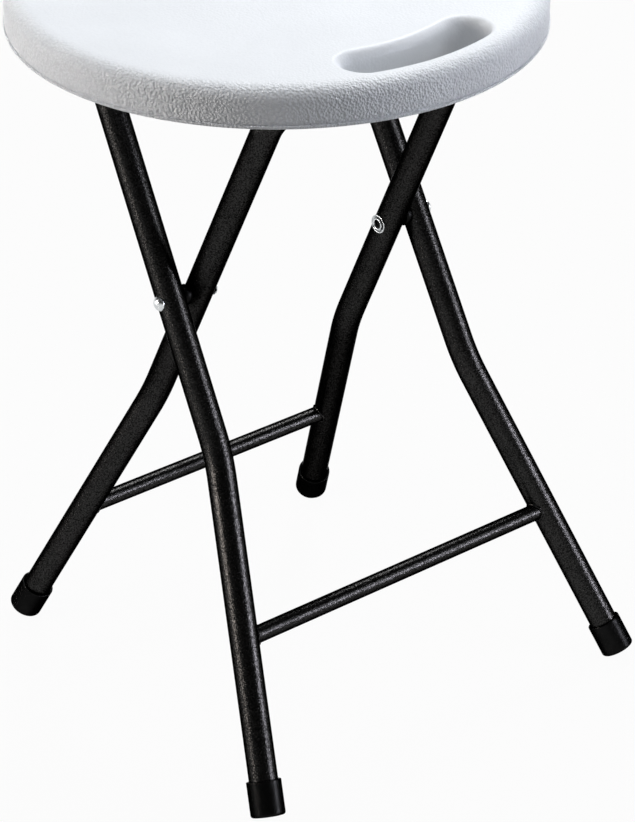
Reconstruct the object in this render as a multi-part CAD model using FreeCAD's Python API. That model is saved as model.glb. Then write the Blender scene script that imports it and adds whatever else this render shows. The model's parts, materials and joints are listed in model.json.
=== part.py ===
import FreeCAD, Part
import math
import os

# Folding picnic stool: a round moulded seat on two bent tube frames that scissor about a pair of rivets.
# Lengths are in millimetres and angles in degrees. The floor is z = 0, and the pivot axis runs along X. The hand
# slot is on the -Y side, and the seat's hinge bar is on the +Y side. Places are worked out from the seat's centre
# line, and each finished piece is then moved so that the origin lies under the middle of the whole stool.

# Seat
seat_height = 450.0
seat_diameter = 324.0
seat_thickness = 24.0
seat_wall = 2.6
edge_width = 10.0
edge_drop = 8.6
lip_height = 2.2
lip_proud = 0.6

# Hand slot, on an arc about the seat's centre, with a strap of the seat left outside it
handle_strap = 16.2
slot_width = 27.0
slot_half_angle = 16.7
slot_edge_radius = 3.8

# Leg frames
pivot_height = 275.0
pivot_offset = 17.8
tube_diameter = 17.8
tube_wall = 1.2
outer_half_width = 96.0
pivot_gap = 3.4
bar_spacing = 148.7
upper_splay = 1.3
lower_splay = 12.2
bend_drop = 98.0
bend_radius = 140.0
corner_radius = 19.0
crossbar_diameter = 10.8
crossbar_wall = 1.0
outer_crossbar_drop = 206.5
inner_crossbar_drop = 205.8

# Foot caps
cap_wall = 1.7
cap_length = 21.5
cap_floor = 3.5
cap_edge_radius = 1.6
cap_lip_radius = 1.1
cap_lip_proud = 0.35
foot_flat = 0.6

# Pivot rivets, washers and spacers
rivet_diameter = 5.6
rivet_wall = 1.1
rivet_bore_depth = 9.0
rivet_head_flare = 1.9
rivet_head_height = 2.9
rivet_tail_flare = 1.3
washer_margin = 1.9
washer_thickness = 0.8
spacer_diameter = 13.0

# Hinge clamps, latch hooks and their screws
clamp_width = 22.0
clamp_wall = 3.0
clamp_inset = 19.9
hook_wall = 3.5
hook_wrap = 22.0
hook_inset = 14.4
hook_slot_margin = 6.6
hook_screw_gap = 3.4
hook_screw_margin = 1.7
flange_margin = 2.2
flange_thickness = 4.0
flange_corner = 3.5
screw_diameter = 4.0
screw_length = 14.0
screw_post_wall = 3.0
screw_head_diameter = 7.6
screw_head_height = 2.4
screw_cross_width = 1.1
screw_cross_length = 4.4
screw_cross_depth = 1.3

# Clearances, and how close two places are when they count as one
fixed_fit = 0.05
running_fit = 0.08
bar_clearance = 0.4
pivot_clearance = 0.45
same_place = 0.01

# Seat and slot, worked out from the sizes above
seat_radius = seat_diameter / 2
wall_radius = seat_radius - lip_proud
underside_z = seat_height - seat_thickness
slot_radius = seat_radius - handle_strap - slot_width / 2
handle_flat = handle_strap - lip_proud - edge_width

# Fittings
tube_radius = tube_diameter / 2
cradle_radius = tube_radius + bar_clearance
clamp_reach = cradle_radius + clamp_wall
hook_reach = cradle_radius + hook_wall
flange_length = screw_head_diameter + 2 * flange_margin
hook_screw_spacing = screw_head_diameter + hook_screw_gap
hook_width = hook_screw_spacing + screw_head_diameter + 2 * hook_screw_margin

# The top bars lie under the seat, the latch bar as far from the hand slot as its hooks need. A frame's lean is
# the angle of its plane from upright, above zero where its top leans to +Y.
bar_z = underside_z - bar_clearance - tube_radius
latch_bar_y = hook_slot_margin + flange_length + hook_reach + slot_width / 2 - slot_radius
hinge_bar_y = latch_bar_y + bar_spacing
outer_lean = math.degrees(math.atan2(hinge_bar_y + pivot_offset, bar_z - pivot_height))
inner_lean = math.degrees(math.atan2(latch_bar_y + pivot_offset, bar_z - pivot_height))

cap_radius = tube_radius + fixed_fit + cap_wall

# Pivots
inner_half_width = outer_half_width - tube_diameter - pivot_gap
outer_face_x = outer_half_width + tube_radius
inner_gap_x = inner_half_width + tube_radius
tail_face_x = inner_half_width - tube_radius - pivot_clearance
rivet_radius = rivet_diameter / 2
pivot = FreeCAD.Vector(0, -pivot_offset, pivot_height)

centre = FreeCAD.Vector(0, 0, 0)
x_axis = FreeCAD.Vector(1, 0, 0)
z_axis = FreeCAD.Vector(0, 0, 1)


def mirrored(shape):
    """The same piece on the other side of the stool."""
    return shape.mirror(centre, x_axis)


def cylinder_x(radius, x_from, x_to, middle):
    """A round bar along X between two X places, about a middle in Y and Z."""
    base = FreeCAD.Vector(min(x_from, x_to), middle.y, middle.z)
    return Part.makeCylinder(radius, abs(x_to - x_from), base, x_axis)


def block(corner, opposite):
    """A box between two corners."""
    low = FreeCAD.Vector(*[min(a, b) for a, b in zip(corner, opposite)])
    size = [abs(a - b) for a, b in zip(corner, opposite)]
    return Part.makeBox(size[0], size[1], size[2], low)


def section_point(radius, height):
    """A point of a turned piece's profile."""
    return FreeCAD.Vector(radius, 0, height)


def turned(profile_edges):
    """A solid of revolution about Z from a closed profile."""
    face = Part.Face(Part.Wire(profile_edges))
    return face.revolve(centre, z_axis, 360)


def polyline(points):
    """Straight edges through the points in order."""
    return [Part.LineSegment(a, b).toShape() for a, b in zip(points, points[1:])]


def rounded_path(points, radii):
    """Straight runs through the points, with a tangent arc of the given radius at each inner point."""
    edges = []
    start = points[0]
    for before, corner, after, radius in zip(points, points[1:], points[2:], radii):
        into = (corner - before).normalize()
        out = (after - corner).normalize()
        turn = into.getAngle(out)
        setback = radius * math.tan(turn / 2)
        arc_start = corner - into * setback
        arc_end = corner + out * setback
        inward = (out - into).normalize()
        arc_middle = corner + inward * (radius / math.cos(turn / 2) - radius)
        edges.append(Part.LineSegment(start, arc_start).toShape())
        edges.append(Part.Arc(arc_start, arc_middle, arc_end).toShape())
        start = arc_end
    edges.append(Part.LineSegment(start, points[-1]).toShape())
    return Part.Wire(edges)


def swept_round(path, radius):
    """A solid round bar along a path."""
    first = path.Edges[0]
    ring = Part.makeCircle(radius, first.valueAt(first.FirstParameter), first.tangentAt(first.FirstParameter))
    return path.makePipeShell([Part.Wire(ring)], True, False)


# Leg frames

def on_frame(lean, x, rise):
    """The point of a frame's plane at X and at a distance up the frame from the pivot axis."""
    angle = math.radians(lean)
    return pivot + FreeCAD.Vector(x, rise * math.sin(angle), rise * math.cos(angle))


def bar_rise(lean):
    """How far up a frame its top bar lies."""
    return (bar_z - pivot_height) / math.cos(math.radians(lean))


def foot_drop(lean):
    """How far down a frame its caps end, so that the floor cuts a flat in their rounded edges."""
    tilt = math.acos(math.cos(math.radians(lower_splay)) * math.cos(math.radians(lean)))
    edge_reach = cap_edge_radius * (1 - math.cos(tilt))
    below_middle = (cap_radius - cap_edge_radius) * math.sin(tilt) + edge_reach
    return (pivot_height + foot_flat - below_middle) / math.cos(math.radians(lean))


def leg_half_width(half_width, rise):
    """Half the spacing of a frame's legs, which splay a little above the bend and more below it."""
    upper = half_width - max(rise, -bend_drop) * math.tan(math.radians(upper_splay))
    return upper + max(-rise - bend_drop, 0) * math.tan(math.radians(lower_splay))


def leg_point(half_width, lean, rise):
    """The point of the right leg's centre line at a distance up the frame."""
    return on_frame(lean, leg_half_width(half_width, rise), rise)


def foot_point(half_width, lean):
    """The middle of the right foot cap's end face."""
    return leg_point(half_width, lean, -foot_drop(lean))


def leg_direction(half_width, lean):
    """The direction up the right leg from its foot."""
    return (leg_point(half_width, lean, -bend_drop) - foot_point(half_width, lean)).normalize()


def foot_edge_y(half_width, lean):
    """The furthest place in Y of a foot cap's rounded edge, on the side that the foot stands on."""
    side = -1 if lean > 0 else 1
    up = leg_direction(half_width, lean)
    middle = foot_point(half_width, lean) + up * cap_edge_radius
    across = (cap_radius - cap_edge_radius) * math.sqrt(1 - up.y ** 2)
    return middle.y + side * (across + cap_edge_radius)


def frame_path(half_width, lean):
    """The centre line of a frame, from the left foot over the top bar to the right foot."""
    foot = foot_point(half_width, lean) + leg_direction(half_width, lean) * cap_floor
    bend = leg_point(half_width, lean, -bend_drop)
    corner = leg_point(half_width, lean, bar_rise(lean))
    right = [corner, bend, foot]
    left = [FreeCAD.Vector(-p.x, p.y, p.z) for p in reversed(right)]
    radii = [bend_radius, corner_radius, corner_radius, bend_radius]
    return rounded_path(left + right, radii)


def bar_straight(half_width, lean):
    """Half the straight length of a frame's top bar, between its two corners."""
    corner_turn = math.radians(90 + upper_splay)
    return leg_half_width(half_width, bar_rise(lean)) - corner_radius * math.tan(corner_turn / 2)


def leg_frame(solid, path, half_width, hole_radius):
    """The bent tube, with a hole for the pivot rivet in each leg."""
    tube = solid.cut(swept_round(path, tube_radius - tube_wall))
    for side in (-1, 1):
        near = side * (half_width - tube_diameter)
        far = side * (half_width + tube_diameter)
        tube = tube.cut(cylinder_x(hole_radius, near, far, pivot))
    return tube


def crossbar(frame_solid, half_width, lean, drop):
    """A thinner tube between the legs, with its ends cut to the legs' round."""
    reach = leg_half_width(half_width, -drop)
    middle = on_frame(lean, 0, -drop)
    bar = cylinder_x(crossbar_diameter / 2, -reach, reach, middle)
    bore = cylinder_x(crossbar_diameter / 2 - crossbar_wall, -reach, reach, middle)
    return bar.cut(bore).cut(frame_solid)


def foot_cap(half_width, lean):
    """The right foot cap: a cup on the tube's end, with a small flat where it stands on the floor."""
    bore = tube_radius + fixed_fit
    side_top = cap_length - 2 * cap_lip_radius
    edge_shift = cap_edge_radius * (1 - math.sqrt(0.5))
    end_rim = section_point(cap_radius - cap_edge_radius, 0)
    edge_middle = section_point(cap_radius - edge_shift, edge_shift)
    side_low = section_point(cap_radius, cap_edge_radius)
    side_high = section_point(cap_radius, side_top)
    lip_middle = section_point(cap_radius + cap_lip_proud, cap_length - cap_lip_radius)
    mouth = section_point(cap_radius, cap_length)
    profile = polyline([centre, end_rim])
    profile.append(Part.Arc(end_rim, edge_middle, side_low).toShape())
    profile += polyline([side_low, side_high])
    profile.append(Part.Arc(side_high, lip_middle, mouth).toShape())
    bore_top = section_point(bore, cap_length)
    bore_floor = section_point(bore, cap_floor)
    profile += polyline([mouth, bore_top, bore_floor, section_point(0, cap_floor), centre])
    cap = turned(profile)
    foot = foot_point(half_width, lean)
    turn = FreeCAD.Rotation(z_axis, leg_direction(half_width, lean))
    cap.Placement = FreeCAD.Placement(foot, turn)
    span = 2 * cap_radius
    below = block((foot.x - span, foot.y - span, -span), (foot.x + span, foot.y + span, 0))
    return cap.cut(below)


# Pivots

def pivot_rivet(outer_solid):
    """The right rivet: a domed head on the outer leg, a shank, and a rolled tubular tail inside."""
    head_radius = rivet_radius + rivet_head_flare
    saddle = tube_radius - math.sqrt(tube_radius ** 2 - head_radius ** 2)
    dome_radius = (head_radius ** 2 + rivet_head_height ** 2) / (2 * rivet_head_height)
    dome_centre = FreeCAD.Vector(outer_face_x + rivet_head_height - dome_radius, pivot.y, pivot.z)
    dome = Part.makeSphere(dome_radius, dome_centre)
    head_top = outer_face_x + rivet_head_height
    head = dome.common(cylinder_x(head_radius, outer_face_x, head_top, pivot))
    head = head.fuse(cylinder_x(head_radius, outer_face_x - saddle, outer_face_x, pivot)).cut(outer_solid)
    tail_x = tail_face_x - washer_thickness
    shank = cylinder_x(rivet_radius, tail_x, outer_face_x, pivot)
    bore_radius = rivet_radius - rivet_wall
    roll_radius = (rivet_wall + rivet_tail_flare) / 2
    roll_end = tail_x - 2 * roll_radius
    roll_centre = FreeCAD.Vector(tail_x, pivot.y, pivot.z)
    roll = Part.makeTorus(bore_radius + roll_radius, roll_radius, roll_centre, x_axis)
    roll = roll.common(cylinder_x(bore_radius + 2 * roll_radius, roll_end, tail_x, pivot))
    rivet = shank.fuse([head, roll]).removeSplitter()
    return rivet.cut(cylinder_x(bore_radius, roll_end, tail_x + rivet_bore_depth, pivot))


def pivot_washer():
    """The right washer, between the rolled tail and the inner leg."""
    radius = rivet_radius + rivet_tail_flare + washer_margin
    disc = cylinder_x(radius, tail_face_x - washer_thickness, tail_face_x, pivot)
    hole = cylinder_x(rivet_radius + running_fit, tail_face_x - washer_thickness, tail_face_x, pivot)
    return disc.cut(hole)


def pivot_spacer(outer_solid):
    """The right spacer, saddled on the outer leg and flat towards the inner leg."""
    disc = cylinder_x(spacer_diameter / 2, inner_gap_x + pivot_clearance, outer_half_width, pivot)
    hole = cylinder_x(rivet_radius + running_fit, inner_gap_x, outer_half_width, pivot)
    return disc.cut(outer_solid).cut(hole)


# Seat

def edge_curve(radius, top, width, drop):
    """The rounded top edge, a quarter oval from the flat top out and down to the side wall."""
    quarter_round = 4 / 3 * (math.sqrt(2) - 1)
    poles = [
        section_point(radius - width, top),
        section_point(radius - width * (1 - quarter_round), top),
        section_point(radius, top - drop * (1 - quarter_round)),
        section_point(radius, top - drop),
    ]
    curve = Part.BezierCurve()
    curve.setPoles(poles)
    return curve.toShape()


def seat_outside():
    """The seat's outer form: flat top, round edge, side wall, parting lip and flat underside."""
    profile = polyline([section_point(0, seat_height), section_point(wall_radius - edge_width, seat_height)])
    profile.append(edge_curve(wall_radius, seat_height, edge_width, edge_drop))
    below_edge = [
        section_point(wall_radius, seat_height - edge_drop),
        section_point(wall_radius, underside_z + lip_height),
        section_point(seat_radius, underside_z + lip_height),
        section_point(seat_radius, underside_z),
        section_point(0, underside_z),
        section_point(0, seat_height),
    ]
    return turned(profile + polyline(below_edge))


def seat_cavity():
    """The hollow inside the moulding, one wall in from the outer form."""
    radius = wall_radius - seat_wall
    top = seat_height - seat_wall
    floor = underside_z + seat_wall
    width = edge_width - seat_wall
    drop = edge_drop - seat_wall
    profile = polyline([section_point(0, top), section_point(radius - width, top)])
    profile.append(edge_curve(radius, top, width, drop))
    below_edge = [
        section_point(radius, top - drop),
        section_point(radius, floor),
        section_point(0, floor),
        section_point(0, top),
    ]
    return turned(profile + polyline(below_edge))


def slot_prism(grow, low, high):
    """The hand slot as an arched prism with round ends, grown on all sides by an amount."""
    half = slot_width / 2 + grow
    reach = math.radians(slot_half_angle)

    def at(radius, angle):
        return FreeCAD.Vector(radius * math.sin(angle), -radius * math.cos(angle), low)

    def long_side(radius):
        return Part.Arc(at(radius, -reach), at(radius, 0), at(radius, reach)).toShape()

    def round_end(angle, way):
        tip = at(slot_radius, angle) + FreeCAD.Vector(way * math.cos(angle), way * math.sin(angle), 0) * half
        return Part.Arc(at(slot_radius + half, angle), tip, at(slot_radius - half, angle)).toShape()

    far_side = long_side(slot_radius + half)
    near_side = long_side(slot_radius - half)
    edges = [far_side, round_end(reach, 1), near_side, round_end(-reach, -1)]
    face = Part.Face(Part.Wire(Part.__sortEdges__(edges)))
    return face.extrude(FreeCAD.Vector(0, 0, high - low))


def is_slot_top_edge(edge):
    """True for the edges where the hand slot meets the seat's flat top."""
    box = edge.BoundBox
    return box.ZMin > seat_height - same_place and box.YMax < 0


def screw_places(middle_x, along, offsets, bar_y):
    """Where screws enter the underside: for each side, each place along X and each offset from the bar."""
    places = []
    for side in (-1, 1):
        for shift in along:
            for offset in offsets:
                places.append(FreeCAD.Vector(side * middle_x + shift, bar_y + offset, underside_z))
    return places


clamp_x = bar_straight(outer_half_width, outer_lean) - clamp_inset - clamp_width / 2
hook_x = bar_straight(inner_half_width, inner_lean) - hook_inset - hook_width / 2
clamp_screw_offset = clamp_reach + flange_length / 2
hook_screw_offset = hook_reach + flange_length / 2
clamp_screw_places = screw_places(clamp_x, [0], [-clamp_screw_offset, clamp_screw_offset], hinge_bar_y)
hook_screw_along = [-hook_screw_spacing / 2, hook_screw_spacing / 2]
hook_screw_places = screw_places(hook_x, hook_screw_along, [-hook_screw_offset], latch_bar_y)


def seat_shell():
    """The hollow seat with its hand slot and a post with a pilot hole for each screw."""
    cavity = seat_cavity().cut(slot_prism(seat_wall, underside_z, seat_height))
    pilots = []
    for place in clamp_screw_places + hook_screw_places:
        post = Part.makeCylinder(screw_diameter / 2 + screw_post_wall, seat_thickness, place)
        cavity = cavity.cut(post)
        pilot_depth = screw_length - flange_thickness
        pilots.append(Part.makeCylinder(screw_diameter / 2 + fixed_fit, pilot_depth, place))
    seat = seat_outside().cut(slot_prism(0, underside_z - seat_thickness, seat_height + seat_thickness))
    top_edges = [edge for edge in seat.Edges if is_slot_top_edge(edge)]
    seat = seat.makeFillet(min(slot_edge_radius, handle_flat - same_place), top_edges)
    return seat.cut(cavity).cut(Part.makeCompound(pilots))


# Fittings under the seat

def with_round_corners(shape, end_places, radius):
    """The flange corners at the given Y ends rounded in plan."""
    upright = []
    for edge in shape.Edges:
        box = edge.BoundBox
        is_upright = box.XLength < same_place and box.YLength < same_place
        at_end = any(abs(box.YMin - end) < same_place for end in end_places)
        if is_upright and at_end:
            upright.append(edge)
    return shape.makeFillet(radius, upright)


def drilled(shape, places):
    """Screw holes through the flanges."""
    for place in places:
        if shape.BoundBox.isInside(place - z_axis * (flange_thickness / 2)):
            base = place - z_axis * (2 * flange_thickness)
            shape = shape.cut(Part.makeCylinder(screw_diameter / 2 + fixed_fit, 3 * flange_thickness, base))
    return shape


def hinge_clamp():
    """The right hinge clamp: a strap under the hinge bar with a flange on each side."""
    middle = FreeCAD.Vector(clamp_x, hinge_bar_y, bar_z)
    flange_low = underside_z - flange_thickness
    near = clamp_x - clamp_width / 2
    far = clamp_x + clamp_width / 2

    def across(reach, low, high):
        return block((near, hinge_bar_y - reach, low), (far, hinge_bar_y + reach, high))

    flange_end = clamp_reach + flange_length
    strap = cylinder_x(clamp_reach, near, far, middle).fuse(across(clamp_reach, bar_z, underside_z))
    strap = strap.cut(across(clamp_reach, underside_z, seat_height))
    strap = strap.fuse(across(flange_end, flange_low, underside_z))
    cradle = cylinder_x(cradle_radius, near, far, middle).fuse(across(cradle_radius, bar_z, underside_z))
    clamp = strap.cut(cradle).removeSplitter()
    clamp = with_round_corners(clamp, [hinge_bar_y - flange_end, hinge_bar_y + flange_end], flange_corner)
    return drilled(clamp, clamp_screw_places)


def latch_hook():
    """The right latch hook: a cradle on the outer side of the latch bar, open downwards and inwards."""
    middle = FreeCAD.Vector(hook_x, latch_bar_y, bar_z)
    lip_low = bar_z - cradle_radius * math.sin(math.radians(hook_wrap))
    flange_end = latch_bar_y - hook_reach - flange_length
    flange_low = underside_z - flange_thickness
    near = hook_x - hook_width / 2
    far = hook_x + hook_width / 2
    hook = block((near, latch_bar_y - hook_reach, lip_low), (far, latch_bar_y, underside_z))
    hook = hook.fuse(block((near, flange_end, flange_low), (far, latch_bar_y, underside_z)))
    hook = hook.cut(cylinder_x(cradle_radius, near, far, middle)).removeSplitter()
    hook = with_round_corners(hook, [flange_end], flange_corner)
    return drilled(hook, hook_screw_places)


def flange_screw(place):
    """A pan head screw with a cross recess, up through a flange into the seat."""
    under_head = place - z_axis * flange_thickness
    radius = screw_head_diameter / 2
    dome_radius = (radius ** 2 + screw_head_height ** 2) / (2 * screw_head_height)
    dome = Part.makeSphere(dome_radius, under_head + z_axis * (dome_radius - screw_head_height))
    head_end = under_head - z_axis * screw_head_height
    head = dome.common(Part.makeCylinder(radius, screw_head_height, head_end))
    screw = head.fuse(Part.makeCylinder(screw_diameter / 2, screw_length, under_head)).removeSplitter()
    half_long = screw_cross_length / 2
    half_wide = screw_cross_width / 2
    for half_x, half_y in ((half_long, half_wide), (half_wide, half_long)):
        low = (place.x - half_x, place.y - half_y, head_end.z - screw_cross_depth)
        high = (place.x + half_x, place.y + half_y, head_end.z + screw_cross_depth)
        screw = screw.cut(block(low, high))
    return screw


# The origin goes under the middle of the stool's box, which the seat and the feet bound along Y
front_y = min(-seat_radius, foot_edge_y(outer_half_width, outer_lean))
back_y = max(seat_radius, foot_edge_y(inner_half_width, inner_lean))
to_origin = FreeCAD.Vector(0, -(front_y + back_y) / 2, 0)


def save(name, shape):
    """Write one named piece, moved to the stool's own origin."""
    shape.translated(to_origin).exportStep("parts/" + name + ".step")
    print(name, len(shape.Solids), "solids", round(shape.Volume, 1), "mm3", "valid", shape.isValid())


os.makedirs("parts", exist_ok=True)

outer_path = frame_path(outer_half_width, outer_lean)
inner_path = frame_path(inner_half_width, inner_lean)
outer_solid = swept_round(outer_path, tube_radius)
inner_solid = swept_round(inner_path, tube_radius)

save("seat", seat_shell())
save("outer_leg_frame", leg_frame(outer_solid, outer_path, outer_half_width, rivet_radius + fixed_fit))
save("inner_leg_frame", leg_frame(inner_solid, inner_path, inner_half_width, rivet_radius + running_fit))
save("outer_crossbar", crossbar(outer_solid, outer_half_width, outer_lean, outer_crossbar_drop))
save("inner_crossbar", crossbar(inner_solid, inner_half_width, inner_lean, inner_crossbar_drop))

right_pieces = {
    "outer_foot_cap": foot_cap(outer_half_width, outer_lean),
    "inner_foot_cap": foot_cap(inner_half_width, inner_lean),
    "pivot_rivet": pivot_rivet(outer_solid),
    "pivot_washer": pivot_washer(),
    "pivot_spacer": pivot_spacer(outer_solid),
    "hinge_clamp": hinge_clamp(),
    "latch_hook": latch_hook(),
}
for name, piece in right_pieces.items():
    save("right_" + name, piece)
    save("left_" + name, mirrored(piece))

save("hinge_clamp_screws", Part.makeCompound([flange_screw(place) for place in clamp_screw_places]))
save("latch_hook_screws", Part.makeCompound([flange_screw(place) for place in hook_screw_places]))

axes = {
    "pivot": (-pivot_offset, pivot_height),
    "hinge bar": (hinge_bar_y, bar_z),
    "latch bar": (latch_bar_y, bar_z),
}
for name, (y, z) in axes.items():
    print(name, "at y", round(y + to_origin.y, 3), "z", round(z, 3))
print("seat centre at y", round(to_origin.y, 3), "leans", round(outer_lean, 3), round(inner_lean, 3))
print("clamps at x", round(clamp_x, 3), "hooks at x", round(hook_x, 3))
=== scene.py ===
# %% [markdown]
# # A folding picnic stool
# The stool is a white moulded seat on two bent steel tubes that cross like scissors. The imported model
# already holds every piece at its real size, so this lesson only gives the pieces their finished look: soft
# moulded edges, welds, grained plastic and a textured black coat. We load the model first. The finished
# stool has to fit in it.

# %% Load the frame
import json
import math
import bmesh
import bpy
from mathutils import Matrix, Vector


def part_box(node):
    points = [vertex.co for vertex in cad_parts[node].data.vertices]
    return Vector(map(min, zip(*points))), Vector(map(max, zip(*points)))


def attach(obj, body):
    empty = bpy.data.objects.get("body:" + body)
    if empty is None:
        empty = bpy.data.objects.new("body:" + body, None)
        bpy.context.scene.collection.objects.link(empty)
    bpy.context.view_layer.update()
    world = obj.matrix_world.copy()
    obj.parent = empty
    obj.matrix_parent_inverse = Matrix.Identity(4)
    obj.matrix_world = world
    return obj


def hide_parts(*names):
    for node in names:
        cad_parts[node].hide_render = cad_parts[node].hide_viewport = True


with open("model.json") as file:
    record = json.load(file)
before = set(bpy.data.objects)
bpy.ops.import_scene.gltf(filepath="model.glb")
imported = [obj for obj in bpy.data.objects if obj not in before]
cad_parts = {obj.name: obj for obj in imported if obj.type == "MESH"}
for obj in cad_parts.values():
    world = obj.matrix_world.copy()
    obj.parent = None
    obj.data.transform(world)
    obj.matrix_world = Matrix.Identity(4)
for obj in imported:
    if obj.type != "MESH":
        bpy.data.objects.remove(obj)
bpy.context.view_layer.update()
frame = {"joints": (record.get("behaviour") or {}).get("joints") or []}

# %% [markdown]
# ## Where things are
# Three lines drive the whole layout: the rivet axis where the legs cross, the bar under the seat that the
# seat hinges on, and the bar that drops into the hooks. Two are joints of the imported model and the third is
# the front of the inner frame's box, so we read them instead of typing them. How far each frame leans
# follows from them.

# %% Measures of the frame
MM = 0.001


def corners(node):
    """The lowest and highest corners of a node's box."""
    low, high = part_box(node)
    return Vector(low), Vector(high)


joint_places = {joint["name"]: Vector(joint["pos_m"]) for joint in frame["joints"]}
pivot = joint_places["fold"]
hinge_bar = joint_places["seat_tilt"]
inner_low, inner_high = corners("inner_leg_frame")
tube_radius = inner_high.z - hinge_bar.z
latch_bar = Vector((0, inner_low.y + tube_radius, hinge_bar.z))
outer_lean = math.atan2(hinge_bar.y - pivot.y, hinge_bar.z - pivot.z)
inner_lean = math.atan2(latch_bar.y - pivot.y, latch_bar.z - pivot.z)
print("pivot", pivot, "hinge bar", hinge_bar, "tube", round(2 * tube_radius / MM, 2), "mm")
print("leans", round(math.degrees(outer_lean), 2), round(math.degrees(inner_lean), 2))

# %% [markdown]
# ## Helpers for nodes and meshes
# Materials and Geometry Nodes trees are both node trees, so one small helper that adds a node and fills in
# or links its sockets serves them all. The mesh helpers turn a bmesh into an object at the origin and hand
# it to the body that carries it. Keeping the place in the mesh, not in the object, means a pattern on
# Object coordinates stays put.

# %% Helpers
def set_inputs(tree, node, inputs):
    """Give each of a node's inputs its value, or a link where the value is a socket."""
    for name, value in inputs.items():
        if isinstance(value, bpy.types.NodeSocket):
            tree.links.new(value, node.inputs[name])
        else:
            node.inputs[name].default_value = value


def add_node(tree, kind, inputs=None, **settings):
    """Add a node with its settings and its inputs."""
    node = tree.nodes.new(kind)
    for name, value in settings.items():
        setattr(node, name, value)
    set_inputs(tree, node, inputs or {})
    return node


def new_object(name, data):
    """An object of the scene, at the origin."""
    obj = bpy.data.objects.new(name, data)
    bpy.context.scene.collection.objects.link(obj)
    return obj


def object_from(bm, name):
    """A smooth-shaded object from a bmesh, with its faces pointing outwards."""
    bmesh.ops.recalc_face_normals(bm, faces=bm.faces)
    for face in bm.faces:
        face.smooth = True
    mesh = bpy.data.meshes.new(name)
    bm.to_mesh(mesh)
    bm.free()
    return new_object(name, mesh)


def applied(obj):
    """The same object with its modifiers worked into a plain mesh."""
    bpy.context.view_layer.update()
    evaluated = obj.evaluated_get(bpy.context.evaluated_depsgraph_get())
    mesh = bpy.data.meshes.new_from_object(evaluated)
    obj.modifiers.clear()
    obj.data = mesh
    return obj


def hand_over(piece, body, slot, *nodes):
    """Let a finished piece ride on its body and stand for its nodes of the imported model."""
    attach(piece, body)
    if nodes:
        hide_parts(*nodes)
    print(piece.name, "has", len(piece.data.polygons), "faces and rides on", body)


def pair(kind):
    """The names of the left and the right node of a kind."""
    return ["left_" + kind, "right_" + kind]


# %% [markdown]
# ## Building blocks of a finish
# Every finish is made of a few patterns, mapped onto colours, roughness or height. They read Object
# coordinates, which are metres on the stool itself, so a scale is a count of cells per metre. With one small
# function for each block, a finish reads like a recipe.

# %% Blocks of a finish
def new_finish(name):
    """A material with its node tree, its shader and the object's own coordinates."""
    material = bpy.data.materials.new(name)
    material.use_nodes = True
    tree = material.node_tree
    coordinates = add_node(tree, "ShaderNodeTexCoord").outputs["Object"]
    return material, tree, tree.nodes["Principled BSDF"], coordinates


def noise(tree, coordinates, scale, detail=2.0, roughness=0.5, output="Fac"):
    """A noise pattern; scale is in cells per metre."""
    inputs = {"Vector": coordinates, "Scale": scale, "Detail": detail, "Roughness": roughness}
    return add_node(tree, "ShaderNodeTexNoise", inputs).outputs[output]


def spread(tree, value, low, high, from_low=0.3, from_high=0.7):
    """Map a pattern onto a range of numbers."""
    inputs = {"Value": value, "From Min": from_low, "From Max": from_high, "To Min": low, "To Max": high}
    return add_node(tree, "ShaderNodeMapRange", inputs).outputs["Result"]


def colours(tree, value, dark, light, from_low=0.3, from_high=0.7):
    """Map a pattern onto a run between two colours."""
    ramp = add_node(tree, "ShaderNodeValToRGB", {"Fac": value})
    for element, place, colour in zip(ramp.color_ramp.elements, (from_low, from_high), (dark, light)):
        element.position = place
        element.color = (*colour, 1)
    return ramp.outputs["Color"]


def arithmetic(tree, operation, *values):
    """One sum on numbers or patterns."""
    return add_node(tree, "ShaderNodeMath", dict(enumerate(values)), operation=operation).outputs["Value"]


def combine(tree, first, second, share):
    """The first pattern plus a share of the second."""
    return arithmetic(tree, "MULTIPLY_ADD", second, share, first)


def bump(tree, shader, height, strength, distance):
    """Raise the surface by a height pattern."""
    raised = add_node(tree, "ShaderNodeBump", {"Height": height, "Strength": strength, "Distance": distance})
    set_inputs(tree, shader, {"Normal": raised.outputs["Normal"]})


print("finishes of the packed model:", len(bpy.data.materials))

# %% [markdown]
# ## White moulded plastic
# The seat is blow moulded in a mould that was etched with a leather grain. The grain could be modelled, but
# its cells are about a millimetre and a half wide and a tenth deep, so bump is the right tool. Smooth
# Voronoi cells give the pebbles, a noise bends them so that they don't look like a honeycomb, and a second
# fine noise breaks up the gloss. The mould is etched deepest round the wall and polished smoother on the
# top where people sit, so the bump grows with the distance from the seat's axis. The pits between the
# pebbles are painted a little darker as painted shade, and a slow noise varies the white's tone at random.

# %% Finish of the seat
seat_low, seat_high = corners("seat")
seat_top, seat_under = seat_high.z, seat_low.z
seat_radius = (seat_high.x - seat_low.x) / 2
seat_centre = Vector((0, (seat_low.y + seat_high.y) / 2, 0))
grain_starts, grain_full = seat_radius - 14 * MM, seat_radius - 4 * MM
top_depth, wall_depth = 0.14, 0.75
pebbles_per_metre, specks_per_metre = 640.0, 1500.0
bends_per_metre, clouds_per_metre = 300.0, 14.0
pebble_bend = 0.9 * MM
speck_share, pit_shade_share = 0.35, -1.6
# the darker white is reached by painted shade in the pits and by the random tone
pit_shade_and_tone_white, bright_tone_white = (0.71, 0.73, 0.76), (0.88, 0.904, 0.938)


def pebbles(tree, coordinates):
    """Rounded cells, bent by a noise."""
    bend = noise(tree, coordinates, bends_per_metre, detail=1.0, output="Color")
    shift = {0: bend, 1: [pebble_bend] * 3, 2: coordinates}
    bent = add_node(tree, "ShaderNodeVectorMath", shift, operation="MULTIPLY_ADD").outputs["Vector"]
    cells = {"Vector": bent, "Scale": pebbles_per_metre, "Smoothness": 0.4}
    return add_node(tree, "ShaderNodeTexVoronoi", cells, feature="SMOOTH_F1").outputs["Distance"]


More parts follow.
